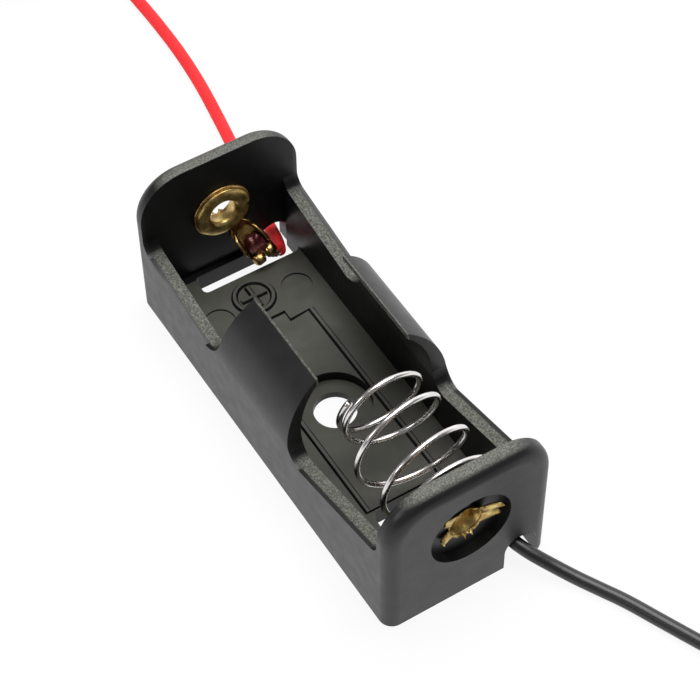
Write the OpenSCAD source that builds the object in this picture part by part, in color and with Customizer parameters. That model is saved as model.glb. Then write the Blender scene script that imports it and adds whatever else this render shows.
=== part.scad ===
// Holder for one small cylindrical cell. The body is one moulding with a riveted eyelet contact at
// one end and a riveted coil spring at the other. A lead is soldered to each contact's tab, and one
// screw through the floor fixes the holder. Millimetres. The origin is the middle of the underside,
// +X points to the spring end and +Z points up, out of the open top.

/* [Cell] */
// Diameter of the cell
cell_d = 10.3; // [9.8:0.1:10.6]
// Length of the cell over its positive button
cell_l = 28.5; // [27.5:0.1:29.5]
// Clearance round the cell
cell_gap = 0.15; // [0.1:0.05:0.3]
// Length left in the bay for the eyelet and the squeezed spring
contact_room = 3.1; // [3:0.1:4]

/* [Body] */
// Thickness of the long side walls
side_t = 1.2; // [1:0.1:1.6]
// Thickness of the end walls
end_t = 1.4; // [1.3:0.1:1.8]
// Thickness of the floor
floor_t = 1.5; // [1.3:0.1:1.8]
// Height of the end walls
body_h = 12.8; // [12.6:0.1:14]
// Radius of the end walls' top corners, seen from the end
shoulder_r = 3.6; // [2.6:0.1:3.8]
// Radius that rolls round the outer edge of each end face
end_edge_r = 1; // [0.6:0.1:1.2]
// Height of the side walls at the spring's end wall
side_h_spring = 7.65; // [7:0.05:8]
// Height of the side walls at the eyelet's end wall
side_h_eyelet = 6.65; // [6.2:0.05:7.4]
// Height of the side walls beside the wings
side_h_low = 5.1; // [4.8:0.05:5.6]
// Length over which the side walls fall from the spring's end wall
fall_spring = 9.9; // [8:0.1:11]
// Length over which the side walls fall from the eyelet's end wall
fall_eyelet = 9; // [8:0.1:9.5]
// Radius of the side walls' rise into the end walls
wall_foot_r = 1.2; // [0.6:0.1:1.6]

/* [Wings] */
// Height at which the wings start to curve in over the cell
wing_z = 5.6; // [5.2:0.1:6]
// Width of the mouth between the wings
mouth_w = 7.1; // [6.6:0.1:7.6]
// Length of the wings along their tips
wing_tip_l = 7.8; // [6:0.1:9]
// How much longer the wings are at their roots
wing_flare = 2; // [1:0.1:2.4]
// Shift of the wings towards the eyelet end
wing_shift = 0.35; // [0:0.05:0.8]
// Radius of the wings' foot towards the spring
wing_foot_spring_r = 1.6; // [0.8:0.1:2]
// Radius of the wings' foot towards the eyelet
wing_foot_eyelet_r = 2.4; // [0.8:0.1:2.6]

/* [Floor] */
// Diameter of the screw hole
screw_d = 3.2; // [2.6:0.1:3.6]
// Diameter of the seat for the screw's head
screw_seat_d = 5.5; // [5:0.1:6.4]
// Thickness of floor left under the screw's head
screw_seat_t = 0.6; // [0.5:0.05:1.2]
// Width of each slot through the floor
slot_w = 1.7; // [1.4:0.1:2.2]
// Distance from the middle to each slot's end
slot_y = 2.9; // [2.4:0.1:3.2]
// Corner radius of the slots
slot_r = 0.4; // [0.3:0.05:0.5]
// Distance from the spring's end wall to its slot
slot_spring_x = 4.6; // [4.4:0.1:5]
// Distance from the eyelet's end wall to its slot
slot_eyelet_x = 0.4; // [0.2:0.1:0.8]
// Diameter of the ejector marks
ejector_d = 2.4; // [2:0.1:2.6]
// Depth of the ejector marks
ejector_depth = 0.15; // [0.1:0.05:0.2]
// Distance of the ejector marks from the eyelet's end wall
ejector_x = 5; // [4.2:0.1:5.6]
// Distance of the ejector marks from the middle
ejector_y = 3.3; // [3:0.1:3.6]

/* [Lead notches] */
// Width of the arched notch at the foot of each end wall
notch_w = 2.6; // [2.2:0.1:3]
// Height of the notches
notch_h = 3.05; // [2.6:0.05:3.4]
// Distance of the notches from the middle
notch_y = 4.25; // [4.1:0.05:4.5]

/* [Contacts] */
// Height of the contacts' centre
contact_z = 7.25; // [6.8:0.05:7.4]
// Diameter of the round recess in each end face
recess_d = 6.3; // [5.8:0.1:6.6]
// Depth of the round recess
recess_depth = 0.8; // [0.5:0.05:0.85]
// Outer diameter of an eyelet's barrel
barrel_d = 2.5; // [2.3:0.1:2.7]
// Thickness of the eyelets' sheet
eyelet_t = 0.2; // [0.15:0.01:0.25]
// Clearance between a barrel and what it goes through
barrel_gap = 0.05; // [0.03:0.01:0.1]
// Diameter of the eyelets' rolled head
head_d = 4.4; // [4.2:0.1:4.6]
// Height of the rolled head
head_h = 0.42; // [0.36:0.01:0.5]
// Number of petals of the set tail
petals = 5; // [4:1:6]
// Diameter across the petals
petal_d = 4.8; // [4.4:0.1:5.2]
// Height of the round lip that the petals open from
petal_lip = 0.3; // [0.25:0.01:0.4]
// Width of the slits between the petals
petal_slit = 0.5; // [0.3:0.05:0.7]
// Thickness of the solder tabs
tab_t = 0.3; // [0.2:0.05:0.35]
// Diameter of the tabs' ring
tab_ring_d = 4.7; // [4.5:0.1:5]
// Width of the tabs' neck
tab_neck_w = 1.3; // [1:0.1:1.6]
// Width of the tabs' trough
tab_trough_w = 1.7; // [1.5:0.1:2]
// Height of the trough's folded sides
tab_side_h = 0.7; // [0.6:0.05:0.8]
// Distance from the contact's centre to the tab's bend
tab_bend = 3.2; // [3:0.1:3.4]
// Length of the trough
trough_l = 2.8; // [2.4:0.1:3]
// Angle at which the trough leans off the wall
trough_lean = 35; // [30:1:38]
// Angle of the tabs below the level, towards the notch
tab_angle = 63; // [60:1:66]
// Radius of the solder
solder_r = 0.9; // [0.75:0.05:0.95]

/* [Spring] */
// Diameter of the spring's wire
spring_wire_d = 0.45; // [0.35:0.01:0.5]
// Radius of the spring's working turns, at the middle of the wire
spring_r = 3.8; // [3.4:0.05:4]
// Radius of the spring's free turn
spring_tip_r = 3.15; // [2.8:0.05:3.3]
// Sideways offset of the free turn
spring_tip_shift = 0.45; // [0:0.05:0.5]
// How far each turn's top leans towards the end wall
spring_lean = 0.55; // [0:0.05:0.6]
// Free length of the spring, from the end wall
spring_l = 11; // [9.5:0.1:11.5]
// Working turns of the spring
spring_turns = 3; // [3:1:4]

/* [Leads] */
// Outer diameter of the leads
lead_d = 1; // [0.8:0.05:1]
// Diameter of the leads' stranded core
core_d = 0.45; // [0.35:0.05:0.5]
// Length of each lead from its joint to its bare end
lead_l = 150; // [146:1:160]
// Length of bare core at the far end
bare_l = 5; // [4:0.5:6]
// Radius of the leads' coils, at the middle of the wire
coil_r = 5.5; // [5:0.1:6]

/* [Hidden] */
$fn = 64;

past = 0.1; // how far a cutter runs past the face that it opens
bay_r = cell_d / 2 + cell_gap;
body_w = 2 * (bay_r + side_t);
bay_end = (cell_l + contact_room) / 2;
rooted = bay_end + (end_t - end_edge_r) / 2; // the floor and the side walls run into the end walls
cell_z = floor_t + cell_d / 2;
wing_r = body_w / 2;
barrel_hole_d = barrel_d + 2 * barrel_gap;
recess_floor = end_t - recess_depth;
notch_edge = notch_y - notch_w / 2;
spring_seat = tab_t + spring_wire_d;

// Shape of the spring, in turns from its free end
closed_turns = 1;
base_turns = 1.5;
spring_start = 144; // direction of the free end, from +Y towards +Z
closed_pitch = spring_wire_d + 0.05;
spring_base_r = barrel_hole_d / 2 + spring_wire_d / 2 + 0.15;
ring_steps = 24; // rings in each turn of the spring
spring_free_x = bay_end - spring_l + spring_wire_d / 2;
spring_base_x = bay_end - tab_t - spring_wire_d / 2;
spring_pitch = (spring_base_x - spring_free_x - closed_pitch * closed_turns) / spring_turns;

// Middle lines of the leads, from the joint to the start of the coil
red_route = [
    [-14.35, 3.9, 1.55], [-15, 4.2, 1.35], [-15.8, 4.45, 1.15], [-16.5, 4.6, 1], [-17.2, 4.75, 0.85],
    [-18.6, 5.05, 0.65], [-20.5, 5.45, 0.52], [-23, 6.05, 0.5], [-26, 6.65, 0.5], [-30, 7.35, 0.5],
    [-34, 7.95, 0.5], [-38, 8.3, 0.5], [-42, 8.4, 0.5], [-45.5, 8.35, 0.5], [-49, 8.35, 0.5],
    [-52.5, 8.35, 0.5], [-56.8, 8.35, 0.5]];
black_route = [
    [13.9, 3.5, 2.1], [14.5, 3.6, 2.1], [15.15, 3.65, 2.12], [15.8, 3.72, 2.1], [16.4, 3.85, 2.04],
    [17.2, 4.1, 1.9],
    [18.2, 4.65, 1.55], [19.4, 5.5, 1.05], [20.85, 6.45, 0.65], [22.35, 7.35, 0.5], [24.15, 8.3, 0.5],
    [26.65, 9.4, 0.5], [29.25, 10.55, 0.5], [32.45, 12, 0.5], [35.5, 13.37, 0.5], [38.8, 14.85, 0.5]];
// Middle lines of the bare cores, from the trough to the joint
red_core_route = [
    [-14.42, 2, 3.56], [-14.06, 2.25, 3.16], [-13.7, 2.56, 2.78], [-13.65, 2.97, 2.41],
    [-13.85, 3.4, 1.98], [-14.35, 3.9, 1.55]];
black_core_route = [
    [14.42, 2, 3.56], [14.06, 2.25, 3.16], [13.7, 2.56, 2.78], [13.5, 2.97, 2.45],
    [13.55, 3.35, 2.2], [13.9, 3.5, 2.1]];
// Headings in plan where the leads run into their coils
red_heading = 180;
black_heading = 24.2;

// ---- Helpers ----

// Extrudes a Y-Z outline along X, and an X-Z outline along Y.
module along_x(length) rotate([90, 0, 90]) linear_extrude(length, center = true) children();
module along_y(length) rotate([90, 0, 0]) linear_extrude(length, center = true) children();

// Moves a piece drawn with x as Y, y as Z and z = 0 as an end wall's inner face, +z outwards.
module at_spring_end() translate([bay_end, 0, 0]) rotate([90, 0, 90]) children();
module at_eyelet_end() mirror([1, 0, 0]) at_spring_end() children();
module at_both_ends() {
    at_spring_end() children();
    at_eyelet_end() children();
}

// Mesh of a round tube swept along points, with a flat side towards the reference direction.
module swept_tube(points, d, ref = [0, 0, 1], sides = 8) {
    last = len(points) - 1;
    r = d / 2 / cos(180 / sides);
    rings = [for (i = [0:last])
        let (t = points[min(i + 1, last)] - points[max(i - 1, 0)],
            a = cross(t, ref) / norm(cross(t, ref)),
            b = cross(a, t) / norm(cross(a, t)))
        for (k = [0:sides - 1])
            let (w = 360 * (k + 0.5) / sides)
            points[i] + r * (a * cos(w) + b * sin(w))];
    skin = [for (i = [0:last - 1], k = [0:sides - 1])
        let (m = i * sides + k, n = i * sides + (k + 1) % sides)
        each [[m, n, n + sides], [m, n + sides, m + sides]]];
    caps = [[for (k = [sides - 1:-1:0]) k], [for (k = [0:sides - 1]) last * sides + k]];
    polyhedron(rings, concat(skin, caps));
}

// Fills the hollow corner at c, between the lines to p and to q, with a radius. The filling runs
// into the walls behind it, and its curve meets their faces a hair past the tangent.
module corner_fillet(c, p, q, r) {
    sink = 0.01;
    u = (p - c) / norm(p - c);
    v = (q - c) / norm(q - c);
    half = acos(u * v) / 2;
    reach = (r - sink) / tan(half);
    middle = c + (u + v) / norm(u + v) * (r - sink) / sin(half);
    difference() {
        polygon([c - (u + v) / 2, c + u * reach, middle, c + v * reach]);
        translate(middle) circle(r);
    }
}

function ramp(t) = t <= 0 ? 0 : t >= 1 ? 1 : t * t * (3 - 2 * t);
function soft_start(t, blend = 0.12) = t < -blend ? 0 : t > blend ? t : (t + blend) ^ 2 / (4 * blend);
function route_length(points, i = 0) =
    i >= len(points) - 1 ? 0 : norm(points[i + 1] - points[i]) + route_length(points, i + 1);

// ---- Holder body ----

// Section of an end wall's rim, from the shoulder's centre line outwards.
module rim_section() {
    square([shoulder_r, end_t - end_edge_r]);
    square([shoulder_r - end_edge_r, end_t]);
    intersection() {
        square([shoulder_r, end_t]);
        translate([shoulder_r - end_edge_r, end_t - end_edge_r]) circle(end_edge_r);
    }
}

// End wall: a slab with round shoulders, its outer edge rolled round.
module end_wall() {
    flat = body_w / 2 - shoulder_r;
    rise = body_h - shoulder_r;
    translate([-flat, 0, 0]) cube([2 * flat, rise, end_t]);
    translate([-flat, rise, 0]) rotate([90, 0, 90]) linear_extrude(2 * flat) rim_section();
    half_rim(flat, rise);
    mirror([1, 0, 0]) half_rim(flat, rise);
}

module half_rim(flat, rise) {
    translate([flat, rise, 0]) rotate([90, 0, 0]) linear_extrude(rise) rim_section();
    translate([flat, rise, 0]) rotate_extrude(angle = 90) rim_section();
}

// Side walls, whose tops fall from both end walls to the wings.
module side_walls() {
    spring_top = [bay_end, side_h_spring];
    spring_low = [bay_end - fall_spring, side_h_low];
    eyelet_top = [-bay_end, side_h_eyelet];
    eyelet_low = [fall_eyelet - bay_end, side_h_low];
    difference() {
        union() {
            along_y(body_w)
                polygon([[-rooted, 0], [rooted, 0], [rooted, side_h_spring], spring_top, spring_low,
                    eyelet_low, eyelet_top, [-rooted, side_h_eyelet]]);
            along_y(body_w) corner_fillet(spring_top, [bay_end, body_h], spring_low, wall_foot_r);
            along_y(body_w) corner_fillet(eyelet_top, [-bay_end, body_h], eyelet_low, wall_foot_r);
        }
        translate([-bay_end - end_t / 2, -bay_r, floor_t]) cube([2 * bay_end + end_t, 2 * bay_r, body_h]);
    }
}

// Side view of the wings and their feet.
module wing_sides() {
    tip = wing_tip_l / 2;
    root = tip + wing_flare / 2;
    wide = body_w + 2 * past;
    translate([-wing_shift, 0, 0]) {
        along_y(wide) polygon([[-root, 0], [root, 0], [root, side_h_low], [tip, body_h],
            [-tip, body_h], [-root, side_h_low]]);
        along_y(wide) corner_fillet([root, side_h_low], [tip, body_h], [body_w, side_h_low], wing_foot_spring_r);
        along_y(wide) corner_fillet([-root, side_h_low], [-tip, body_h], [-body_w, side_h_low], wing_foot_eyelet_r);
    }
}

// End view of the wings: the walls curve in over the cell and stop at the mouth.
module wing_section() {
    difference() {
        union() {
            translate([-body_w / 2, 0]) square([body_w, wing_z]);
            translate([0, wing_z]) circle(wing_r);
        }
        translate([-bay_r, floor_t]) square([2 * bay_r, cell_z - floor_t]);
        translate([0, cell_z]) circle(bay_r);
        translate([-mouth_w / 2, cell_z]) square([mouth_w, body_h]);
    }
}

// Slot across the floor, open to the lead notch where it is long enough to reach it.
module floor_slot(from_x, to_y) {
    translate([from_x, -slot_y, -past]) linear_extrude(floor_t + 2 * past) {
        translate([slot_r, 0]) square([slot_w - 2 * slot_r, slot_y + to_y]);
        translate([0, slot_r]) square([slot_w, slot_y + to_y - 2 * slot_r]);
        for (x = [slot_r, slot_w - slot_r], y = [slot_r, slot_y + to_y - slot_r])
            translate([x, y]) circle(slot_r);
    }
}

// Arch at the foot of an end wall, which the lead goes out through.
module lead_notch() {
    translate([notch_edge, -past, -past]) cube([notch_w, notch_h - notch_w / 2 + past, end_t + 2 * past]);
    translate([notch_y, notch_h - notch_w / 2, -past]) cylinder(end_t + 2 * past, d = notch_w);
}

module holder_body() {
    color([0.16, 0.16, 0.17]) difference() {
        union() {
            at_both_ends() end_wall();
            translate([-rooted, -body_w / 2, 0]) cube([2 * rooted, body_w, floor_t]);
            side_walls();
            intersection() {
                along_x(2 * bay_end) wing_section();
                wing_sides();
            }
        }
        at_both_ends() {
            lead_notch();
            translate([0, contact_z, -past]) cylinder(end_t, d = barrel_hole_d);
            translate([0, contact_z, recess_floor]) cylinder(end_t, d = recess_d);
        }
        translate([0, 0, -past]) cylinder(floor_t, d = screw_d);
        translate([0, 0, screw_seat_t]) cylinder(floor_t, d = screw_seat_d);
        floor_slot(bay_end - slot_spring_x - slot_w, slot_y);
        floor_slot(slot_eyelet_x - bay_end, bay_r);
        translate([-bay_end, notch_edge, -past]) cube([slot_eyelet_x + slot_r, bay_r - notch_edge, floor_t + 2 * past]);
        for (side = [-1, 1])
            translate([ejector_x - bay_end, side * ejector_y, floor_t - ejector_depth])
                cylinder(floor_t, d = ejector_d);
    }
}

// ---- Contacts ----

// Section of a rolled edge from the barrel's inside out to diameter d, rising h in +y.
module curl_section(d, h) {
    inner = barrel_d / 2 - eyelet_t;
    difference() {
        curl_outline(inner, d / 2, h);
        curl_outline(inner + eyelet_t, d / 2 - eyelet_t, h - eyelet_t);
    }
}

// Flat top with a round corner at each side, between two radii.
module curl_outline(inner, outer, h) {
    intersection() {
        translate([inner, 0]) square([outer - inner, h]);
        union() {
            translate([inner + h, 0]) square([outer - inner - 2 * h, h]);
            for (x = [inner + h, outer - h]) translate([x, 0]) circle(h);
        }
    }
}

// Brass eyelet: a barrel, a head rolled out inside and a split tail set as petals outside.
module eyelet(seat) {
    translate([0, contact_z, 0]) {
        translate([0, 0, -seat]) difference() {
            cylinder(seat + recess_floor, d = barrel_d);
            translate([0, 0, -past]) cylinder(seat + recess_floor + 2 * past, d = barrel_d - 2 * eyelet_t);
        }
        translate([0, 0, -seat]) mirror([0, 0, 1]) rotate_extrude() curl_section(head_d, head_h);
        translate([0, 0, recess_floor]) tail();
    }
}

module tail() {
    rotate_extrude() curl_section(barrel_d + 2 * (2.2 * petal_lip - eyelet_t), petal_lip);
    difference() {
        cylinder(eyelet_t, d = petal_d);
        translate([0, 0, -past]) cylinder(petal_lip + 2 * past, d = barrel_d);
        for (k = [0:petals - 1])
            rotate([0, 0, 90 + k * 360 / petals]) translate([0, -petal_slit / 2, -past])
                cube([petal_d, petal_slit, petal_lip + 2 * past]);
    }
}

// Sets a piece along a tab's trough: x runs down the trough and -z is its open side.
module in_trough() {
    translate([0, contact_z, 0]) rotate([0, 0, -tab_angle]) translate([tab_bend, 0, 0])
        rotate([0, trough_lean, 0]) children();
}

module trough() {
    translate([0, -tab_trough_w / 2, -tab_t]) cube([trough_l, tab_trough_w, tab_t]);
    for (y = [-tab_trough_w / 2, tab_trough_w / 2 - tab_t])
        translate([trough_l * 0.2, y, -tab_side_h]) cube([trough_l * 0.8, tab_t, tab_side_h]);
}

// Brass solder tab: a ring under the eyelet, a neck and a trough bent off the wall.
module solder_tab() {
    translate([0, contact_z, -tab_t]) difference() {
        union() {
            cylinder(tab_t, d = tab_ring_d);
            rotate([0, 0, -tab_angle]) translate([0, -tab_neck_w / 2, 0]) cube([tab_bend, tab_neck_w, tab_t]);
        }
        translate([0, 0, -past]) cylinder(tab_t + 2 * past, d = barrel_hole_d);
    }
    in_trough() trough();
}

// Solder that fills the trough round the core.
module solder() {
    in_trough() difference() {
        intersection() {
            translate([trough_l - solder_r, 0, -tab_side_h]) sphere(solder_r);
            translate([0, -tab_trough_w / 2, -tab_t - 2 * solder_r]) cube([2 * trough_l, tab_trough_w, 2 * solder_r]);
        }
        trough();
    }
}

module positive_eyelet() color([0.83, 0.66, 0.36]) at_eyelet_end() eyelet(tab_t);
module positive_solder_tab() color([0.8, 0.62, 0.33]) at_eyelet_end() solder_tab();
module positive_solder() color([0.72, 0.7, 0.68]) at_eyelet_end() solder();
module negative_eyelet() color([0.83, 0.66, 0.36]) at_spring_end() eyelet(spring_seat);
module negative_solder_tab() color([0.8, 0.62, 0.33]) at_spring_end() solder_tab();
module negative_solder() color([0.72, 0.7, 0.68]) at_spring_end() solder();

// Radius and place along X of the spring's wire, t turns from the free end.
function spring_radius(t) =
    spring_tip_r + (spring_r - spring_tip_r) * ramp((t - closed_turns - 0.3) / 0.5)
    + (spring_base_r - spring_r) * ramp(t - closed_turns - spring_turns + 0.1);
function spring_x(t) =
    spring_free_x + closed_pitch * t + (spring_pitch - closed_pitch) * soft_start(t - closed_turns)
    - spring_pitch * soft_start(t - closed_turns - spring_turns)
    + spring_lean * sin(spring_start + 360 * t) * (1 - ramp(t - closed_turns - spring_turns + 0.7));

// Coil spring: a closed free turn, open working turns and a base turn wound in under the eyelet.
module contact_spring() {
    turns = closed_turns + spring_turns + base_turns;
    path = [for (t = [0:1 / ring_steps:turns])
        let (w = spring_start + 360 * t, shift = spring_tip_shift * (1 - ramp((t - closed_turns - 0.15) / 0.35)))
        [spring_x(t), spring_radius(t) * cos(w) + shift, contact_z + spring_radius(t) * sin(w)]];
    color([0.78, 0.78, 0.8]) swept_tube(path, spring_wire_d, [1, 0, 0]);
}

// ---- Leads ----

// Turns that a lead's coil holds once its route and its bare end are taken off its length.
function coil_turns(route) = (lead_l - bare_l - route_length(route)) / (2 * PI * coil_r);

// Moves to a coil's middle, with x towards the point where the lead runs in. side is 1 for a coil
// wound to the left of the heading and -1 to the right.
module at_coil(route, heading, side) {
    end = route[len(route) - 1];
    translate([end.x, end.y, 0]) rotate([0, 0, heading + side * 90]) translate([coil_r, 0, 0])
        rotate([0, 0, 180]) children();
}

// Outer shape of a neat coil whose turns lie on each other.
module lead_coil(route, heading, side) {
    high = lead_d * (coil_turns(route) + 1);
    at_coil(route, heading, side) rotate_extrude() translate([coil_r - lead_d / 2, 0]) {
        translate([0, lead_d / 2]) square([lead_d, high - lead_d]);
        for (z = [lead_d / 2, high - lead_d / 2]) translate([lead_d / 2, z]) circle(d = lead_d);
    }
}

// Bare end of the core, straight out of the end of the coil.
module bare_end(route, heading, side) {
    turns = coil_turns(route);
    at_coil(route, heading, side) rotate([0, 0, side * 360 * turns])
        translate([coil_r, 0, lead_d * (turns + 0.5)]) rotate([-side * 90, 0, 0]) cylinder(bare_l, d = core_d, $fn = 12);
}

module red_lead() color([0.85, 0.08, 0.06]) swept_tube(red_route, lead_d);
module red_lead_coil() color([0.85, 0.08, 0.06]) lead_coil(red_route, red_heading, 1);
module red_lead_core() color([0.75, 0.72, 0.66]) {
    swept_tube(red_core_route, core_d, [1, 0, 0]);
    bare_end(red_route, red_heading, 1);
}
module black_lead() color([0.07, 0.07, 0.07]) swept_tube(black_route, lead_d);
module black_lead_coil() color([0.07, 0.07, 0.07]) lead_coil(black_route, black_heading, -1);
module black_lead_core() color([0.75, 0.72, 0.66]) {
    swept_tube(black_core_route, core_d, [1, 0, 0]);
    bare_end(black_route, black_heading, -1);
}

holder_body();
positive_eyelet();
positive_solder_tab();
positive_solder();
negative_eyelet();
negative_solder_tab();
negative_solder();
contact_spring();
red_lead();
red_lead_coil();
red_lead_core();
black_lead();
black_lead_coil();
black_lead_core();
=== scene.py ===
"""Looks of the cylindrical cell holder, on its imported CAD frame. Metres, +X to the spring end, +Z up."""
import math

import bmesh
import bpy
from mathutils import Matrix, Vector, noise


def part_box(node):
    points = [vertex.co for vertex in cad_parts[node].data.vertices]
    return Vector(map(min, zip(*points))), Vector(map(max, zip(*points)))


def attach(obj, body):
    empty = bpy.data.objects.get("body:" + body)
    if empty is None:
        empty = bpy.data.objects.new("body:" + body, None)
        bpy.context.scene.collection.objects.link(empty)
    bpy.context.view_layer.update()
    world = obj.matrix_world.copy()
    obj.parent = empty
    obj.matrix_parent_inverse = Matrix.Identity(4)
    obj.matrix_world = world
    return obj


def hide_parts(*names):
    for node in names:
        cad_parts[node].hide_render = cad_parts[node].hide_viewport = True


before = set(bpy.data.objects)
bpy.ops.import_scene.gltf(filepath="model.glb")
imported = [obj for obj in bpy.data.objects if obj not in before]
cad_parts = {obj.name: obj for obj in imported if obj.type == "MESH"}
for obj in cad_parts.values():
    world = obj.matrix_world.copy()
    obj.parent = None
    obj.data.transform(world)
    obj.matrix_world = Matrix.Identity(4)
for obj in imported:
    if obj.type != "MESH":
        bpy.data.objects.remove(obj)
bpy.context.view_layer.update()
ROOT = "root"

# ---- Sizes, from the frame's boxes and as in part.scad ----

END_T = 0.0014  # thickness of the end walls
FLOOR_Z = 0.0015  # height of the floor's upper face
BAY_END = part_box("holder_body")[1].x - END_T
eyelet_low, eyelet_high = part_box("negative_eyelet")
CONTACT_Z = (eyelet_low.z + eyelet_high.z) / 2
TAB_T = 0.0003  # sheet of the solder tabs, between the spring and the end wall
# The wings: how far their middle lies towards the eyelet end, half their length, and where they start
WING_SHIFT, WING_HALF, WING_Z = 0.00035, 0.0052, 0.0057
MOUTH_HALF = 0.00355  # from the holder's middle to the tip of a wing


# ---- Camera ----

def add_camera():
    """The photograph's viewpoint: high above the spring end, looking down into the bay."""
    target = Vector((-0.00115, 0.002, 0.005))
    distance = 0.1591
    azimuth, elevation, roll = (math.radians(a) for a in (-31.24, 52.14, -0.76))
    back = Vector((
        math.cos(elevation) * math.cos(azimuth),
        math.cos(elevation) * math.sin(azimuth),
        math.sin(elevation),
    ))
    data = bpy.data.cameras.new("camera")
    data.sensor_width = 36
    data.lens = 115.37
    data.clip_start = 0.01
    data.clip_end = 5
    camera = bpy.data.objects.new("camera", data)
    camera.location = target + back * distance
    level = (-back).to_track_quat("-Z", "Y").to_matrix()
    camera.rotation_euler = (level @ Matrix.Rotation(roll, 3, "Z")).to_euler()
    bpy.context.collection.objects.link(camera)
    bpy.context.scene.camera = camera


add_camera()


# ---- Paths and meshes ----

def ease(t):
    """0 before 0 and 1 after 1, with a smooth climb between them."""
    t = min(max(t, 0), 1)
    return t * t * (3 - 2 * t)


def smooth_path(points, steps):
    """Points along a smooth curve through the given points, steps to each span."""
    points = [Vector(p) for p in points]
    out = []
    for i in range(len(points) - 1):
        p0 = points[max(i - 1, 0)]
        p1, p2 = points[i], points[i + 1]
        p3 = points[min(i + 2, len(points) - 1)]
        for k in range(steps):
            t = k / steps
            out.append(0.5 * (
                2 * p1 + (p2 - p0) * t + (2 * p0 - 5 * p1 + 4 * p2 - p3) * t**2
                + (3 * p1 - p0 - 3 * p2 + p3) * t**3
            ))
    return out + [points[-1]]


def path_length(points):
    return sum((b - a).length for a, b in zip(points, points[1:]))


def frames_along(points):
    """A pair of cross directions at each point, carried along the path without twist."""
    last = len(points) - 1
    tangents = [(points[min(i + 1, last)] - points[max(i - 1, 0)]).normalized() for i in range(last + 1)]
    side = tangents[0].orthogonal().normalized()
    out = []
    for t in tangents:
        side = (side - t * side.dot(t)).normalized()
        out.append((side, t.cross(side)))
    return out


def sweep(bm, points, radius, sides):
    """Adds a closed round tube along the points to a bmesh."""
    rings = [
        [
            bm.verts.new(point + (a * math.cos(w) + b * math.sin(w)) * radius)
            for w in (2 * math.pi * k / sides for k in range(sides))
        ]
        for point, (a, b) in zip(points, frames_along(points))
    ]
    for low, high in zip(rings, rings[1:]):
        for k in range(sides):
            n = (k + 1) % sides
            bm.faces.new((low[k], low[n], high[n], high[k]))
    bm.faces.new(rings[0][::-1])
    bm.faces.new(rings[-1])


def revolve(bm, profile, place, steps=96):
    """Turns a closed profile of (radius, height) round the axis. place maps (x, y, height) to the frame."""
    rings = [
        [bm.verts.new(place(r * math.cos(w), r * math.sin(w), h)) for r, h in profile]
        for w in (2 * math.pi * k / steps for k in range(steps))
    ]
    for ring, after in zip(rings, rings[1:] + rings[:1]):
        for k in range(len(profile)):
            n = (k + 1) % len(profile)
            bm.faces.new((ring[k], ring[n], after[n], after[k]))


def thin_sheet(bm, rows, thickness):
    """Adds a sheet of even thickness along a grid of points, closed at its edges."""
    count, width = len(rows), len(rows[0])
    faces = ([], [])
    for i, row in enumerate(rows):
        layers = ([], [])
        for j, point in enumerate(row):
            along = rows[min(i + 1, count - 1)][j] - rows[max(i - 1, 0)][j]
            across = row[min(j + 1, width - 1)] - row[max(j - 1, 0)]
            normal = along.cross(across).normalized() * thickness / 2
            layers[0].append(bm.verts.new(point + normal))
            layers[1].append(bm.verts.new(point - normal))
        faces[0].append(layers[0])
        faces[1].append(layers[1])
    top, under = faces
    for i in range(count - 1):
        for j in range(width - 1):
            bm.faces.new((top[i][j], top[i][j + 1], top[i + 1][j + 1], top[i + 1][j]))
            bm.faces.new((under[i][j], under[i + 1][j], under[i + 1][j + 1], under[i][j + 1]))
    edge = [(0, j) for j in range(width)] + [(i, width - 1) for i in range(1, count)]
    edge += [(count - 1, j) for j in range(width - 2, -1, -1)] + [(i, 0) for i in range(count - 2, 0, -1)]
    for (i, j), (m, n) in zip(edge, edge[1:] + edge[:1]):
        bm.faces.new((top[i][j], under[i][j], under[m][n], top[m][n]))


def mesh_piece(name, bm, material, smooth=True):
    """Turns a bmesh into a piece that rides on the holder."""
    bmesh.ops.recalc_face_normals(bm, faces=bm.faces)
    mesh = bpy.data.meshes.new(name)
    bm.to_mesh(mesh)
    bm.free()
    mesh.polygons.foreach_set("use_smooth", [smooth] * len(mesh.polygons))
    mesh.materials.append(material)
    piece = bpy.data.objects.new(name, mesh)
    bpy.context.collection.objects.link(piece)
    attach(piece, ROOT)
    return piece


# ---- Material helpers ----

def new_material(name, color, roughness, metallic=0.0):
    """A principled material, its node tree and its shader."""
    material = bpy.data.materials.new(name)
    material.use_nodes = True
    tree = material.node_tree
    shader = tree.nodes["Principled BSDF"]
    shader.inputs["Base Color"].default_value = (*color, 1)
    shader.inputs["Roughness"].default_value = roughness
    shader.inputs["Metallic"].default_value = metallic
    return material, tree, shader


def noise_value(tree, scale, detail):
    """Object-space noise: the Fac output of a noise texture."""
    texture = tree.nodes.new("ShaderNodeTexNoise")
    texture.inputs["Scale"].default_value = scale
    texture.inputs["Detail"].default_value = detail
    tree.links.new(tree.nodes.new("ShaderNodeTexCoord").outputs["Object"], texture.inputs["Vector"])
    return texture.outputs["Fac"]


def ramp_color(tree, value, stops):
    """A colour ramp over a value. Its stops are pairs of a place from 0 to 1 and a colour."""
    ramp = tree.nodes.new("ShaderNodeValToRGB")
    elements = ramp.color_ramp.elements
    while len(elements) < len(stops):
        elements.new(0.5)
    for element, (place, color) in zip(elements, stops):
        element.position = place
        element.color = (*color, 1)
    tree.links.new(value, ramp.inputs["Fac"])
    return ramp.outputs["Color"]


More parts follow.
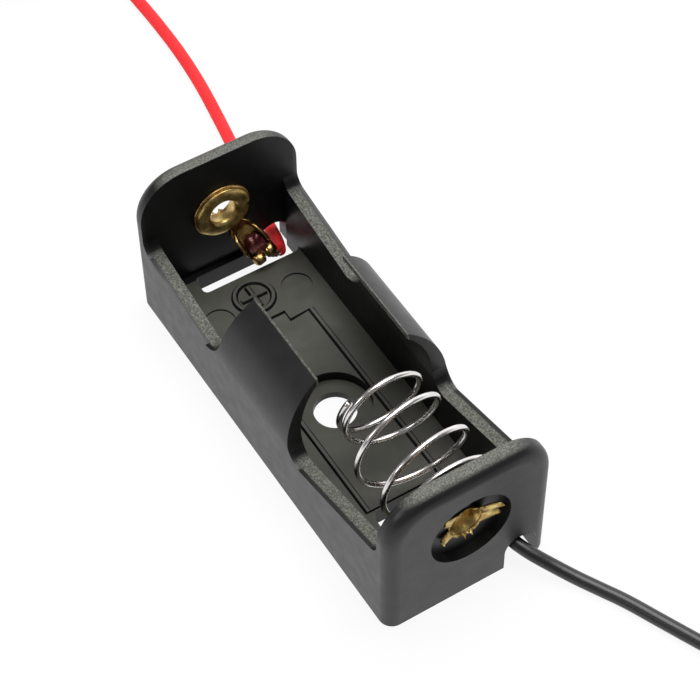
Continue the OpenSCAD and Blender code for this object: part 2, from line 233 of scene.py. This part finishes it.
def map_range(tree, value, low, high, to_low, to_high):
    """Maps a value linearly from one range to another, clamped."""
    node = tree.nodes.new("ShaderNodeMapRange")
    for socket, number in zip(("From Min", "From Max", "To Min", "To Max"), (low, high, to_low, to_high)):
        node.inputs[socket].default_value = number
    tree.links.new(value, node.inputs["Value"])
    return node.outputs["Result"]


def add_bump(tree, shader, height, distance, strength, under=None):
    """Bumps the shader's normal by a height, over another bump if given."""
    bump = tree.nodes.new("ShaderNodeBump")
    bump.inputs["Strength"].default_value = strength
    bump.inputs["Distance"].default_value = distance
    tree.links.new(height, bump.inputs["Height"])
    if under:
        tree.links.new(under, bump.inputs["Normal"])
    tree.links.new(bump.outputs["Normal"], shader.inputs["Normal"])
    return bump.outputs["Normal"]


def axis_value(tree, output, axis):
    """One coordinate of the object-space position ("Object") or normal ("Normal")."""
    split = tree.nodes.new("ShaderNodeSeparateXYZ")
    tree.links.new(tree.nodes.new("ShaderNodeTexCoord").outputs[output], split.inputs[0])
    return split.outputs[axis]


def math_value(tree, operation, first, second=None):
    """A math node over values or numbers."""
    node = tree.nodes.new("ShaderNodeMath")
    node.operation = operation
    for socket, value in zip(node.inputs, (first, second)):
        if isinstance(value, (int, float)):
            socket.default_value = value
        elif value is not None:
            tree.links.new(value, socket)
    return node.outputs[0]


def product(tree, first, *others):
    """All the given values multiplied together."""
    for value in others:
        first = math_value(tree, "MULTIPLY", first, value)
    return first


def mix_color(tree, share, first, second):
    """Mixes two colour sockets."""
    node = tree.nodes.new("ShaderNodeMix")
    node.data_type = "RGBA"
    tree.links.new(share, node.inputs["Factor"])
    for name, color in (("A", first), ("B", second)):
        socket = [i for i in node.inputs if i.name == name and i.type == "RGBA"][0]
        tree.links.new(color, socket)
    return [o for o in node.outputs if o.type == "RGBA"][0]


# ---- Materials ----

LIT_GRAIN_Z = 0.0045  # the walls' level tops are grained, and painted lighter as painted light, from about this height up
RIM_HALF = 0.0061  # from here outwards the walls' tops are rounded and smooth
LIT_FLOOR_START = 0.0006  # the floor's rougher, lighter face starts this far from the far end wall; its lightness is painted light, and the strip before it keeps the dark colour as painted shade at the wall's foot


def plastic_zones(tree):
    """Masks of the holder's grained tops, painted lighter as painted light, of the floor's rougher face,
    painted a lighter olive as painted light, and of the bay's inside, given less reflection as painted shade.
    """
    up = axis_value(tree, "Normal", "Z")
    ahead = axis_value(tree, "Object", "X")
    height = axis_value(tree, "Object", "Z")
    beside = math_value(tree, "ABSOLUTE", axis_value(tree, "Object", "Y"))
    from_wing = math_value(tree, "ABSOLUTE", math_value(tree, "ADD", ahead, WING_SHIFT))
    on_wing = product(tree, math_value(tree, "LESS_THAN", from_wing, WING_HALF),
                      math_value(tree, "GREATER_THAN", height, WING_Z))
    off_wing = math_value(tree, "SUBTRACT", 1.0, on_wing)
    level = map_range(tree, up, 0.8, 0.97, 0, 1)
    # Painted light: the walls' level tops take a much paler grained colour than the rest, as if lit from
    # above; the grain itself is the plastic's texture
    wall_top = product(tree, level, map_range(tree, height, LIT_GRAIN_Z, LIT_GRAIN_Z + 0.0003, 0, 1),
                       map_range(tree, beside, RIM_HALF, RIM_HALF + 0.00015, 1, 0), off_wing)
    # Painted highlight: a thin band along each wing's tip takes the same pale grained colour
    tip = map_range(tree, beside, MOUTH_HALF + 0.0001, MOUTH_HALF + 0.00016, 1, 0)
    lit_grained_tops = math_value(tree, "MAXIMUM", wall_top, product(tree, on_wing, tip))
    # Painted light: the bay's upward floor takes a lighter olive colour, as if lit from above; the strip next
    # to the far end wall is left out and stays dark as painted shade
    lit_bay_floor = product(tree, level, map_range(tree, height, FLOOR_Z + 0.0003, FLOOR_Z + 0.0005, 1, 0),
                       math_value(tree, "GREATER_THAN", ahead, LIT_FLOOR_START - BAY_END))
    between_ends = math_value(tree, "LESS_THAN", math_value(tree, "ABSOLUTE", ahead), BAY_END + 0.00005)
    # Painted shade: the bay's inside, between the end walls and within the side walls, is given less
    # reflection than the outside below
    inside = product(tree, map_range(tree, beside, RIM_HALF, RIM_HALF + 0.0003, 1, 0), between_ends, off_wing)
    return lit_grained_tops, lit_bay_floor, inside


def black_plastic():
    """Moulded black plastic: spark-grained tops painted paler as painted light, a smooth dark bay that
    reflects less than the outside as painted shade, and a lighter olive on the floor's rougher face as
    painted light.
    """
    material, tree, shader = new_material("black_plastic", (0.009, 0.009, 0.0095), 0.4)
    lit_grained_tops, lit_bay_floor, inside = plastic_zones(tree)
    mottle = noise_value(tree, 420, 5)
    dark = ramp_color(tree, mottle, [(0.3, (0.0035, 0.0035, 0.0038)), (0.72, (0.0075, 0.0075, 0.008))])
    # Painted light: the floor's lighter olive colour
    lit_bay_floor_tone = ramp_color(tree, mottle, [(0.3, (0.046, 0.045, 0.037)), (0.72, (0.072, 0.072, 0.06))])
    grain = noise_value(tree, 7500, 3)
    # Painted light over real grain: the tops' flecked colour is far paler than the plastic elsewhere
    speckled_lit_top = ramp_color(tree, grain, [(0.36, (0.048, 0.049, 0.042)), (0.5, (0.098, 0.1, 0.086)),
                                        (0.66, (0.175, 0.176, 0.148))])
    color = mix_color(tree, lit_grained_tops, mix_color(tree, lit_bay_floor, dark, lit_bay_floor_tone), speckled_lit_top)
    tree.links.new(color, shader.inputs["Base Color"])
    # Painted shade: lower reflection inside the bay makes it darker than the same plastic outside
    tree.links.new(map_range(tree, inside, 0, 1, 0.5, 0.22), shader.inputs["Specular IOR Level"])
    smooth = map_range(tree, noise_value(tree, 900, 3), 0.3, 0.7, 0.36, 0.43)
    rougher = math_value(tree, "MULTIPLY", math_value(tree, "MAXIMUM", lit_grained_tops, lit_bay_floor), 0.2)
    tree.links.new(math_value(tree, "ADD", smooth, rougher), shader.inputs["Roughness"])
    relief = product(tree, grain, map_range(tree, lit_grained_tops, 0, 1, 0.3, 1))
    fine = add_bump(tree, shader, relief, 0.00004, 0.6)
    add_bump(tree, shader, noise_value(tree, 260, 2), 0.0001, 0.03, fine)
    return material


def brass(name, color, roughness):
    """Rolled or stamped brass with fine scratches and slight tarnish."""
    material, tree, shader = new_material(name, color, roughness, 1.0)
    dull = (0.55 * color[0], 0.48 * color[1], 0.4 * color[2])
    tint = ramp_color(tree, noise_value(tree, 1400, 4), [(0.4, dull), (0.62, color)])
    tree.links.new(tint, shader.inputs["Base Color"])
    worn = map_range(tree, noise_value(tree, 1500, 4), 0.3, 0.7, roughness * 0.7, roughness * 1.5)
    tree.links.new(worn, shader.inputs["Roughness"])
    add_bump(tree, shader, noise_value(tree, 2500, 3), 0.00002, 0.35)
    return material


def spring_steel():
    """Nickel-plated wire with drawing marks."""
    material, tree, shader = new_material("nickel_wire", (0.84, 0.82, 0.8), 0.16, 1.0)
    plating = [(0.35, (0.74, 0.71, 0.68)), (0.65, (0.9, 0.88, 0.87))]
    tree.links.new(ramp_color(tree, noise_value(tree, 500, 3), plating), shader.inputs["Base Color"])
    worn = map_range(tree, noise_value(tree, 2500, 3), 0.3, 0.7, 0.14, 0.3)
    tree.links.new(worn, shader.inputs["Roughness"])
    return material


def insulation(name, color, roughness, shine):
    """Extruded insulation with a faint unevenness."""
    material, tree, shader = new_material(name, color, roughness)
    pale = tuple(min(1, c * 1.15 + 0.004) for c in color)
    tint = ramp_color(tree, noise_value(tree, 250, 3), [(0.35, color), (0.7, pale)])
    tree.links.new(tint, shader.inputs["Base Color"])
    shader.inputs["Specular IOR Level"].default_value = shine
    add_bump(tree, shader, noise_value(tree, 2600, 3), 0.00002, 0.35)
    return material


def tinned_wire():
    """Tinned copper strands, with copper showing in spots."""
    material, tree, shader = new_material("tinned_core", (0.72, 0.69, 0.63), 0.3, 1.0)
    tin = [(0.4, (0.72, 0.5, 0.34)), (0.55, (0.74, 0.71, 0.66))]
    tree.links.new(ramp_color(tree, noise_value(tree, 1800, 3), tin), shader.inputs["Base Color"])
    return material


def solder_flux():
    """Solder under dark red-brown flux, with small bare patches."""
    material, tree, shader = new_material("solder", (0.1, 0.02, 0.02), 0.12, 0.35)
    flux = [(0.5, (0.07, 0.012, 0.014)), (0.6, (0.2, 0.07, 0.05)), (0.68, (0.5, 0.4, 0.3))]
    tree.links.new(ramp_color(tree, noise_value(tree, 1300, 3), flux), shader.inputs["Base Color"])
    add_bump(tree, shader, noise_value(tree, 1500, 2), 0.00008, 0.5)
    return material


PLASTIC = black_plastic()
EYELET_BRASS = brass("eyelet_brass", (0.74, 0.56, 0.22), 0.34)
TAB_BRASS = brass("tab_brass", (0.62, 0.4, 0.15), 0.3)
NICKEL = spring_steel()
RED = insulation("red_insulation", (0.88, 0.03, 0.035), 0.6, 0.15)
BLACK = insulation("black_insulation", (0.016, 0.017, 0.016), 0.3, 0.5)
TINNED = tinned_wire()
SOLDER = solder_flux()
TIE = insulation("tie_plastic", (0.5, 0.5, 0.48), 0.45, 0.4)


def paint(node, material):
    """Gives a CAD node its material."""
    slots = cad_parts[node].data.materials
    slots.clear()
    slots.append(material)


paint("holder_body", PLASTIC)
for end in ("positive", "negative"):
    paint(f"{end}_eyelet", EYELET_BRASS)
    paint(f"{end}_solder_tab", TAB_BRASS)
    paint(f"{end}_solder", SOLDER)


# ---- Leads ----

LEAD_D = 0.001
LEAD_LENGTH = 0.150
BARE_LENGTH = 0.005
CORE_D = 0.00045
STRAND_LAY = 0.004  # length in which the strands turn once round each other
COIL_R = 0.0055
TIE_TURN = 0.85  # the twist tie sits this many turns after a coil's start
TIE_WIRE = 0.0002  # radius of one wire of the tie
# The same routes as in part.scad
RED_ROUTE = [
    (-0.01435, 0.0039, 0.00155), (-0.015, 0.0042, 0.00135), (-0.0158, 0.00445, 0.00115),
    (-0.0165, 0.0046, 0.001), (-0.0172, 0.00475, 0.00085), (-0.0186, 0.00505, 0.00065),
    (-0.0205, 0.00545, 0.00052), (-0.023, 0.00605, 0.0005), (-0.026, 0.00665, 0.0005),
    (-0.030, 0.00735, 0.0005), (-0.034, 0.00795, 0.0005), (-0.038, 0.0083, 0.0005),
    (-0.042, 0.0084, 0.0005), (-0.0455, 0.00835, 0.0005), (-0.049, 0.00835, 0.0005),
    (-0.0525, 0.00835, 0.0005), (-0.0568, 0.00835, 0.0005),
]
BLACK_ROUTE = [
    (0.0139, 0.0035, 0.0021), (0.0145, 0.0036, 0.0021), (0.01515, 0.00365, 0.00212),
    (0.0158, 0.00372, 0.0021), (0.0164, 0.00385, 0.00204), (0.0172, 0.0041, 0.0019),
    (0.0182, 0.00465, 0.00155), (0.0194, 0.0055, 0.00105), (0.02085, 0.00645, 0.00065),
    (0.02235, 0.00735, 0.0005), (0.02415, 0.0083, 0.0005), (0.02665, 0.0094, 0.0005),
    (0.02925, 0.01055, 0.0005), (0.03245, 0.012, 0.0005), (0.0355, 0.01337, 0.0005),
    (0.0388, 0.01485, 0.0005),
]
RED_CORE_ROUTE = [
    (-0.01442, 0.002, 0.00356), (-0.01406, 0.00225, 0.00316), (-0.0137, 0.00256, 0.00278),
    (-0.01365, 0.00297, 0.00241), (-0.01385, 0.0034, 0.00198), (-0.01435, 0.0039, 0.00155),
]
BLACK_CORE_ROUTE = [
    (0.01442, 0.002, 0.00356), (0.01406, 0.00225, 0.00316), (0.0137, 0.00256, 0.00278),
    (0.0135, 0.00297, 0.00245), (0.01355, 0.00335, 0.0022), (0.0139, 0.0035, 0.0021),
]


def coil_centre(start, heading, side):
    """Middle of the coil that starts there, on the left (side 1) or right (-1) of the heading."""
    return start + Vector((-math.sin(heading), math.cos(heading), 0)) * COIL_R * side


def coil_path(start, heading, side, length):
    """The coil's turns, which rise one diameter each."""
    centre = coil_centre(start, heading, side)
    turns = length / (2 * math.pi * COIL_R)
    steps = round(turns * 48)
    first = heading - side * math.pi / 2
    return [
        centre + Vector((math.cos(w) * COIL_R, math.sin(w) * COIL_R, LEAD_D * turns * k / steps))
        for k, w in ((k, first + side * 2 * math.pi * turns * k / steps) for k in range(1, steps + 1))
    ]


def strands(name, points):
    """Seven fine wires twisted together along a path."""
    bm = bmesh.new()
    strand_r = CORE_D / 6
    twists = path_length(points) / STRAND_LAY
    directions = frames_along(points)
    sweep(bm, points, strand_r, 8)
    for k in range(6):
        path = []
        for i, (point, (a, b)) in enumerate(zip(points, directions)):
            w = 2 * math.pi * (k / 6 + twists * i / (len(points) - 1))
            path.append(point + (a * math.cos(w) + b * math.sin(w)) * strand_r * 2)
        sweep(bm, path, strand_r, 8)
    return mesh_piece(name, bm, TINNED)


def tie(name, centre, angle, low, high):
    """A twist tie round the turns from low to high, its twisted ends lying towards the coil's middle."""
    outward = Vector((math.cos(angle), math.sin(angle), 0))
    clear = LEAD_D / 2 + TIE_WIRE
    bm = bmesh.new()
    loop = []
    for k in range(41):
        w = math.pi + 2 * math.pi * k / 40
        c, z = math.cos(w), math.sin(w)
        across = math.copysign(abs(c) ** 0.6, c) * clear
        up = math.copysign(abs(z) ** 0.6, z) * ((high - low) / 2 + clear)
        loop.append(centre + outward * (COIL_R + across) + Vector((0, 0, (low + high) / 2 + up)))
    sweep(bm, loop, TIE_WIRE, 8)
    start, across = loop[0], Vector((-outward.y, outward.x, 0))
    tail_length, tail_end_z = 0.0032, 0.0005
    for half_turn in (0, math.pi):
        tail = []
        for k in range(41):
            t = k / 40
            w = half_turn + 6 * math.pi * t
            middle = start - outward * tail_length * t
            middle.z = start.z + (tail_end_z - start.z) * ease(1.2 * t)
            tail.append(middle + (across * math.cos(w) + Vector((0, 0, math.sin(w)))) * TIE_WIRE)
        sweep(bm, tail, TIE_WIRE, 8)
    return mesh_piece(name, bm, TIE)


def insulation_curve(name, points, material):
    """The insulation as a round curve that rides on the holder."""
    curve = bpy.data.curves.new(name, "CURVE")
    curve.dimensions = "3D"
    curve.bevel_depth = LEAD_D / 2
    curve.bevel_resolution = 5
    curve.use_fill_caps = True
    spline = curve.splines.new("POLY")
    spline.points.add(len(points) - 1)
    for knot, point in zip(spline.points, points):
        knot.co = (*point, 1)
    spline.use_smooth = True
    curve.materials.append(material)
    piece = bpy.data.objects.new(name, curve)
    bpy.context.collection.objects.link(piece)
    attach(piece, ROOT)
    return piece


def lead(color_name, route, heading, side, core_route, material):
    """One lead with its coil, its tie, and its core where it is bare at the joint and at the far end."""
    points = smooth_path(route, 6)
    start = points[-1]
    left = LEAD_LENGTH - BARE_LENGTH - path_length(points)
    points += coil_path(start, heading, side, left)
    piece = insulation_curve(f"{color_name}_insulation", points, material)
    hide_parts(f"{color_name}_lead", f"{color_name}_lead_coil")
    onward = (points[-1] - points[-2]).normalized()
    tip = [points[-1] + onward * BARE_LENGTH * k / 20 for k in range(21)]
    bare_end = strands(f"{color_name}_bare_end", tip)
    joint_core = strands(f"{color_name}_joint_core", smooth_path(core_route, 8))
    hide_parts(f"{color_name}_lead_core")
    centre = coil_centre(start, heading, side)
    tied_turns = int(left / (2 * math.pi * COIL_R) - TIE_TURN)
    band = tie(f"{color_name}_tie", Vector((centre.x, centre.y, 0)),
               heading + side * math.pi * (2 * TIE_TURN - 0.5),
               start.z + LEAD_D * TIE_TURN, start.z + LEAD_D * (TIE_TURN + tied_turns))


lead("red", RED_ROUTE, math.radians(180), 1, RED_CORE_ROUTE, RED)
lead("black", BLACK_ROUTE, math.radians(24.2), -1, BLACK_CORE_ROUTE, BLACK)


# ---- Spring ----

SPRING_WIRE = 0.00045
SPRING_R = 0.0038  # middle of the wire in the working turns
SPRING_TIP_R, SPRING_TIP_SHIFT = 0.00315, 0.00045  # the closed turn at the free end lies a little aside
SPRING_BASE_R = 0.001675  # the turns under the eyelet's head
SPRING_LEAN = 0.00055  # how far the free turns lean from square
SPRING_STAND = 0.22  # the last working turn stands free of the wall by this share of a pitch
SPRING_LENGTH = 0.011
SPRING_START = 144  # angle of the wire's free end, in degrees
CLOSED_PITCH = SPRING_WIRE + 0.00005
CLOSED_TURNS, WORKING_TURNS, BASE_TURNS = 1, 3, 1.5


def soft_start(t, blend=0.12):
    """0 up to 0 and t from there on, with the corner rounded over blend on both sides."""
    if abs(t) < blend:
        return (t + blend) ** 2 / (4 * blend)
    return max(t, 0)


def spring_point(t):
    """Middle of the spring's wire, t turns from its free end."""
    free_x = BAY_END - SPRING_LENGTH + SPRING_WIRE / 2
    base_x = BAY_END - TAB_T - SPRING_WIRE / 2
    pitch = (base_x - free_x - CLOSED_PITCH * CLOSED_TURNS) / WORKING_TURNS
    climbed, base = t - CLOSED_TURNS, t - CLOSED_TURNS - WORKING_TURNS
    angle = math.radians(SPRING_START + 360 * t)
    x = free_x + CLOSED_PITCH * t
    x += (pitch - CLOSED_PITCH) * soft_start(climbed)
    x -= pitch * soft_start(base + SPRING_STAND)
    x += pitch * SPRING_STAND * ease((base - 0.1) / 0.6)
    x += SPRING_LEAN * math.sin(angle) * (1 - ease(base + 1))
    radius = SPRING_TIP_R + (SPRING_R - SPRING_TIP_R) * ease((climbed - 0.3) / 0.5)
    radius += (SPRING_BASE_R - SPRING_R) * ease(base + 0.1)
    y = radius * math.cos(angle) + SPRING_TIP_SHIFT * (1 - ease((climbed - 0.15) / 0.35))
    return Vector((x, y, CONTACT_Z + radius * math.sin(angle)))


def spring():
    """The contact spring as one round wire."""
    bm = bmesh.new()
    turns = CLOSED_TURNS + WORKING_TURNS + BASE_TURNS
    steps = round(turns * 64)
    sweep(bm, [spring_point(turns * k / steps) for k in range(steps + 1)], SPRING_WIRE / 2, 16)
    piece = mesh_piece("spring_wire", bm, NICKEL)
    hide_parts("contact_spring")


spring()


# ---- Eyelets, tabs and solder ----

BARREL_R, BORE_R = 0.00125, 0.00105
HEAD_R, HEAD_HEIGHT = 0.0022, 0.00038
RECESS_FLOOR = 0.0006  # from the end wall's inner face out to the floor of its recess
PETAL_T = 0.00014
TAB_SHEET = 0.0002  # the tabs' sheet as drawn here
TAB_ANGLE, TAB_BEND, TROUGH_LEAN = math.radians(63), 0.0032, math.radians(35)
# Petals of the split tail: middle angle and half width in degrees, reach and rise of the tip in mm
PETALS = [
    (30, 13, 2.65, 0.66), (57, 9, 1.85, 0.5), (-19, 16, 2.75, 0.2), (-54, 12, 1.38, 0.14),
    (-85, 14, 1.34, 0.1), (-122, 12, 1.36, 0.14), (-157, 14, 2.15, 0.45), (141, 17, 2.05, 0.1),
]
# Stations along a tab: distance from the contact's centre, half width and height of the folded edges in mm,
# and the share by which the edges close over the core
TAB_STATIONS = [
    (2.0, 0.62, 0, 0), (2.3, 0.5, 0, 0), (2.5, 0.52, 0.1, 0), (2.65, 0.8, 0.44, 0), (2.95, 0.84, 0.5, 0),
    (3.1, 0.6, 0.14, 0), (3.3, 0.62, 0.1, 0), (3.5, 0.78, 0.34, 0), (3.75, 0.92, 0.6, 0),
    (4.3, 0.98, 0.66, 0), (4.9, 1.0, 0.66, 0), (5.25, 0.96, 0.5, 0), (5.4, 0.86, 0.22, 0),
    (5.5, 0.86, 0.36, 0.3), (5.62, 0.88, 0.66, 0.9), (6.1, 0.88, 0.68, 1), (6.25, 0.84, 0.62, 0.8),
]
MM = 1000


def at_wall(end):
    """Maps a point drawn on an end wall's inner face (x as Y, y as Z, height outwards) to the frame."""
    return lambda x, y, height: Vector((end * (BAY_END + height), x, CONTACT_Z + y))


def eyelet_profile(seat):
    """Closed outline of the domed head and the barrel. seat is what lies between the head and the wall."""
    crest_r, rim = 0.00158, 0.00014
    inside = [(BORE_R + (crest_r - BORE_R) * (1 - math.cos(w)), HEAD_HEIGHT * math.sin(w))
              for w in (math.radians(9 * k) for k in range(10))]
    outside = [(crest_r + (HEAD_R - crest_r) * math.sin(w), rim + (HEAD_HEIGHT - rim) * math.cos(w))
               for w in (math.radians(9 * k) for k in range(1, 11))]
    return [(r, -seat - h) for r, h in inside + outside] + [
        (HEAD_R, -seat - 0.00002), (HEAD_R - 0.0001, -seat), (BARREL_R, -seat + 0.00001),
        (BARREL_R, RECESS_FLOOR), (BARREL_R + 0.0001, RECESS_FLOOR + 0.00012),
        (BORE_R + 0.00014, RECESS_FLOOR + 0.00004),
    ]


def petal(place, k, angle, half_width, reach, rise):
    """Rows of points along one torn petal, from the barrel to its tip. k varies the petals' shapes."""
    rows = []
    for i in range(9):
        t = i / 8
        radius = BARREL_R + (reach / MM - BARREL_R) * t
        lift = RECESS_FLOOR + 0.0001 + rise / MM * (4 * t * (1 - t) * 0.35 + t**3)
        row = []
        for j in range(7):
            v = j / 3 - 1
            taper = 1 - 0.4 * t * t + 0.06 * math.sin(5 * t + 2 * k)
            w = math.radians(angle + half_width * v * taper * BARREL_R * 1.5 / radius + 4 * t * math.sin(k))
            wave = 0.00034 * v * v * math.sin(1.7 * k + 1)
            curl = (wave + 0.00008 * noise.noise((3 * t, 2 * v, 5 * k))) * t
            row.append(place(radius * math.cos(w), radius * math.sin(w), lift + curl))
        rows.append(row)
    return rows


def eyelet(name, end, seat):
    """A drawn brass eyelet: a domed head, a barrel and a tail torn into uneven petals."""
    bm = bmesh.new()
    revolve(bm, eyelet_profile(seat), at_wall(end))
    for k, sizes in enumerate(PETALS):
        thin_sheet(bm, petal(at_wall(end), k, *sizes), PETAL_T)
    piece = mesh_piece(f"{name}_eyelet_brass", bm, EYELET_BRASS)
    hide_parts(f"{name}_eyelet")


def in_trough(end, along, across, off):
    """A point in a tab's trough: along it from the bend, across it, and off the sheet into the bay."""
    radial = TAB_BEND + along * math.cos(TROUGH_LEAN) - off * math.sin(TROUGH_LEAN)
    height = -along * math.sin(TROUGH_LEAN) - off * math.cos(TROUGH_LEAN)
    x = radial * math.cos(TAB_ANGLE) + across * math.sin(TAB_ANGLE)
    y = -radial * math.sin(TAB_ANGLE) + across * math.cos(TAB_ANGLE)
    return at_wall(end)(x, y, height)


def tab_section(half, fold, close):
    """Cross-section of a tab at one station, as pairs of a place across it and a height off the sheet."""
    edge = [(half * (0.97 - 0.9 * close), fold * (1 + 0.15 * close)),
            (half * (0.98 - 0.2 * close), fold * (0.9 + 0.2 * close)), (half * 1.06, fold * 0.5)]
    middle = [(k / 3 * half, 0.05 * fold * abs(k / 3) ** 3) for k in range(-3, 4)]
    return [(-across, off) for across, off in edge] + middle + edge[::-1]


def tab_point(end, out, across, off):
    """A point of the tab, out from the contact's centre: on its flat neck, or past the bend in the trough."""
    if out > TAB_BEND:
        return in_trough(end, out - TAB_BEND, across, off + TAB_SHEET / 2)
    x = out * math.cos(TAB_ANGLE) + across * math.sin(TAB_ANGLE)
    y = -out * math.sin(TAB_ANGLE) + across * math.cos(TAB_ANGLE)
    return at_wall(end)(x, y, -TAB_SHEET / 2 - off)


def solder_tab(name, end):
    """Stamped tab: a ring, a neck with small ears and a folded trough for the core."""
    bm = bmesh.new()
    hole_r, ring_r = 0.0013, 0.00235
    revolve(bm, [(hole_r, 0), (hole_r, -TAB_SHEET), (ring_r - 0.00005, -TAB_SHEET),
                 (ring_r, -TAB_SHEET * 0.8), (ring_r, 0)], at_wall(end))
    thin_sheet(bm, [
        [tab_point(end, out / MM, across, off) for across, off in tab_section(half / MM, fold / MM, close)]
        for out, half, fold, close in TAB_STATIONS
    ], TAB_SHEET)
    piece = mesh_piece(f"{name}_tab_brass", bm, TAB_BRASS)
    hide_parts(f"{name}_solder_tab")


def solder(name, end, seed):
    """An uneven drop of solder and flux that fills the trough."""
    bm = bmesh.new()
    bmesh.ops.create_icosphere(bm, subdivisions=4, radius=1)
    middle, half = (0.00175, 0.00005, 0.0005), (0.00095, 0.00076, 0.00042)
    for vert in bm.verts:
        swell = 1 + 0.4 * noise.noise(vert.co * 1.7 + Vector((seed, 0, 0)))
        swell += 0.1 * noise.noise(vert.co * 5)
        vert.co = in_trough(end, *(m + c * swell * h for m, c, h in zip(middle, vert.co, half)))
    piece = mesh_piece(f"{name}_solder_drop", bm, SOLDER)
    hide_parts(f"{name}_solder")


# The negative eyelet's head also clamps the spring's base turns
for name, end, seat in (("positive", -1, TAB_SHEET), ("negative", 1, TAB_T + SPRING_WIRE)):
    eyelet(name, end, seat)
    solder_tab(name, end)
    solder(name, end, 3 * end)


# ---- Raised signs on the floor ----

def ridge(bm, points, closed=False, lift=0.0):
    """Adds a low ridge along points on the floor. lift keeps crossing ridges from sharing a face."""
    half, high = 0.00026, 0.00018 + lift
    points = [Vector((x, y, FLOOR_Z)) for x, y in points]
    last = len(points) - 1
    rows = []
    for i, point in enumerate(points):
        before = points[i - 1] if i or closed else point
        after = points[(i + 1) % len(points)] if i < last or closed else point
        along = (after - before).normalized()
        across = Vector((-along.y, along.x, 0)) * half
        rows.append([
            bm.verts.new(point - across),
            bm.verts.new(point - across * 0.45 + Vector((0, 0, high))),
            bm.verts.new(point + across * 0.45 + Vector((0, 0, high))),
            bm.verts.new(point + across),
        ])
    pairs = list(zip(rows, rows[1:])) + ([(rows[-1], rows[0])] if closed else [])
    for low, high_row in pairs:
        for k in range(3):
            bm.faces.new((low[k], low[k + 1], high_row[k + 1], high_row[k]))
    if not closed:
        bm.faces.new(rows[0])
        bm.faces.new(rows[-1][::-1])


def floor_signs():
    """A plus in a circle at the eyelet end, and the outline of the cell with its button."""
    bm = bmesh.new()
    centre_x, ring_r, arm = -0.0115, 0.00145, 0.00105
    ridge(bm, [(centre_x + ring_r * math.cos(w), ring_r * math.sin(w))
               for w in (2 * math.pi * k / 48 for k in range(48))], closed=True)
    ridge(bm, [(centre_x - arm, 0), (centre_x + arm, 0)])
    ridge(bm, [(centre_x, -arm), (centre_x, arm)], lift=0.00001)
    button_x, shoulder_x, tail_x = -0.0092, -0.0083, 0.00925
    button_y, cell_y = 0.00125, 0.003
    ridge(bm, [(shoulder_x, button_y), (button_x, button_y), (button_x, -button_y), (shoulder_x, -button_y),
               (shoulder_x, -cell_y), (tail_x, -cell_y), (tail_x, cell_y), (shoulder_x, cell_y)], closed=True)
    mesh_piece("floor_signs", bm, PLASTIC, smooth=False)


floor_signs()


# ---- Stage and light ----

def add_floor():
    """A plain pale floor. Camera and glossy rays see it nearly white, and it keeps the holder's shadow."""
    bpy.ops.mesh.primitive_plane_add(size=4)
    floor = bpy.context.object
    floor.name = "floor"
    material, tree, shader = new_material("white_floor", (0.9, 0.9, 0.9), 0.9)
    shader.inputs["Specular IOR Level"].default_value = 0.1
    nodes, links = tree.nodes, tree.links
    seen = nodes.new("ShaderNodeLightPath")
    direct = math_value(tree, "MAXIMUM", seen.outputs["Is Camera Ray"], seen.outputs["Is Glossy Ray"])
    white = nodes.new("ShaderNodeEmission")
    white.inputs["Strength"].default_value = 1
    mix = nodes.new("ShaderNodeMixShader")
    links.new(math_value(tree, "MULTIPLY", direct, 0.9), mix.inputs["Fac"])
    links.new(shader.outputs[0], mix.inputs[1])
    links.new(white.outputs[0], mix.inputs[2])
    links.new(mix.outputs[0], nodes["Material Output"].inputs["Surface"])
    floor.data.materials.append(material)


def add_world():
    """A white world, dim all round and bright on the leads' side, towards the eyelet end."""
    world = bpy.data.worlds.new("white")
    bpy.context.scene.world = world
    world.use_nodes = True
    tree = world.node_tree
    soft = tree.nodes["Background"]
    soft.inputs["Color"].default_value = (1, 1, 1, 1)
    towards = tree.nodes.new("ShaderNodeVectorMath")
    towards.operation = "DOT_PRODUCT"
    towards.inputs[1].default_value = Vector((-0.5, 0.85, 0.1)).normalized()
    tree.links.new(tree.nodes.new("ShaderNodeTexCoord").outputs["Generated"], towards.inputs[0])
    tree.links.new(map_range(tree, towards.outputs["Value"], 0.6, 0.97, 0.2, 1.3), soft.inputs["Strength"])


def area_light(name, place, size, watts):
    """A square lamp that faces the holder."""
    data = bpy.data.lights.new(name, "AREA")
    data.size = size
    data.energy = watts
    light = bpy.data.objects.new(name, data)
    light.location = place
    light.rotation_euler = (HOLDER_MIDDLE - Vector(place)).to_track_quat("-Z", "Y").to_euler()
    bpy.context.collection.objects.link(light)


HOLDER_MIDDLE = Vector((0, 0, 0.006))
add_floor()
add_world()
area_light("key", (-0.05, 0.08, 0.5), size=0.45, watts=3.3)
area_light("fill", (-0.05, -0.42, 0.28), size=0.15, watts=0.38)

bpy.context.scene.view_settings.view_transform = "Standard"
